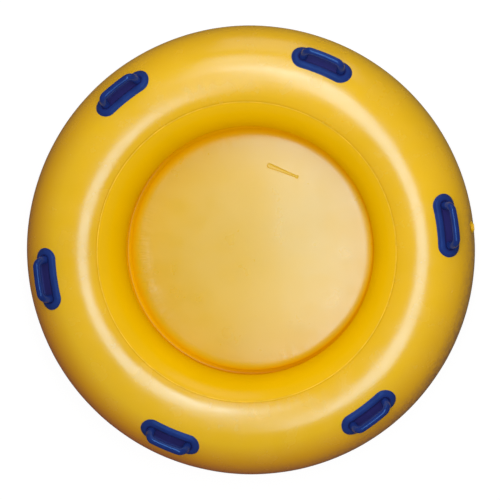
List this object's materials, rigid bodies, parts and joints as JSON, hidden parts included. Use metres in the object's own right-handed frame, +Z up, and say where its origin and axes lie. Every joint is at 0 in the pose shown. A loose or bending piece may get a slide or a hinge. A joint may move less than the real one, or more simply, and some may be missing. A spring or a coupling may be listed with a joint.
{
  "type": "water slide tube",
  "caption": "Round inflatable slide tube with a welded floor, moulded grab handles round its outer crest and a push-to-deflate valve under a screw cap.",
  "frame": {"origin": "on the surface the tube rests on, under the middle of the ring", "axes": "+Z up along the ring's axis; +X towards the handle beside the valve; +Y towards the far handles"},
  "size_m": [1.6726, 1.6692, 0.4103],
  "materials": {
    "skin": "coated PVC fabric, semi-gloss yellow",
    "inner_skin": "coated PVC fabric, semi-gloss deep yellow",
    "flange": "coated PVC fabric, semi-gloss yellow",
    "floor": "coated PVC fabric, satin pale yellow",
    "strip": "welded PVC, satin yellow",
    "handle": "moulded PVC, satin dark blue",
    "grip": "moulded plastic bar, satin dark blue",
    "valve_plastic": "moulded plastic, semi-gloss yellow",
    "valve_inner": "moulded plastic, matt dark grey",
    "seal": "soft black rubber",
    "spring": "bright spring steel wire"
  },
  "bodies": {
    "tube": {"tube_top_panel": "skin", "tube_bottom_panel": "skin", "tube_inner_wall": "inner_skin", "floor_flange": "flange", "floor_panel": "floor", "floor_strip": "strip", "handle_1_base": "handle", "handle_2_base": "handle", "handle_3_base": "handle", "handle_4_base": "handle", "handle_5_base": "handle", "handle_6_base": "handle", "handle_1_grip": "grip", "handle_2_grip": "grip", "handle_3_grip": "grip", "handle_4_grip": "grip", "handle_5_grip": "grip", "handle_6_grip": "grip", "valve_body": "valve_plastic", "valve_gasket": "seal", "valve_clamp_nut": "valve_inner", "valve_spring": "spring"},
    "plunger": {"valve_stem": "valve_inner", "valve_seal": "seal", "valve_button": "valve_inner"},
    "cap_seal": {"valve_cap_seal": "seal"},
    "cap": {"valve_cap": "valve_plastic"}
  },
  "joints": [
    {"name": "valve_press", "type": "slide", "parent": "tube", "child": "plunger", "axis": [-0.9656, 0.0253, -0.2588], "range_m": [0, 0.0037], "stiffness_N_per_m": 400, "springref_m": -0.0045, "deforming": ["valve_spring"]},
    {"name": "cap_lift", "type": "slide", "parent": "tube", "child": "cap_seal", "axis": [0.9656, -0.0253, 0.2588], "range_m": [0, 0.0045]},
    {"name": "cap_turn", "type": "hinge", "parent": "cap_seal", "child": "cap", "pos_m": [0.82831, -0.02169, 0.2321], "axis": [0.9656, -0.0253, 0.2588], "range_deg": [0, 540]}
  ],
  "couplings": [
    {"joint": "cap_turn", "follows": "cap_lift", "rad_per_m": 2094.4}
  ]
}
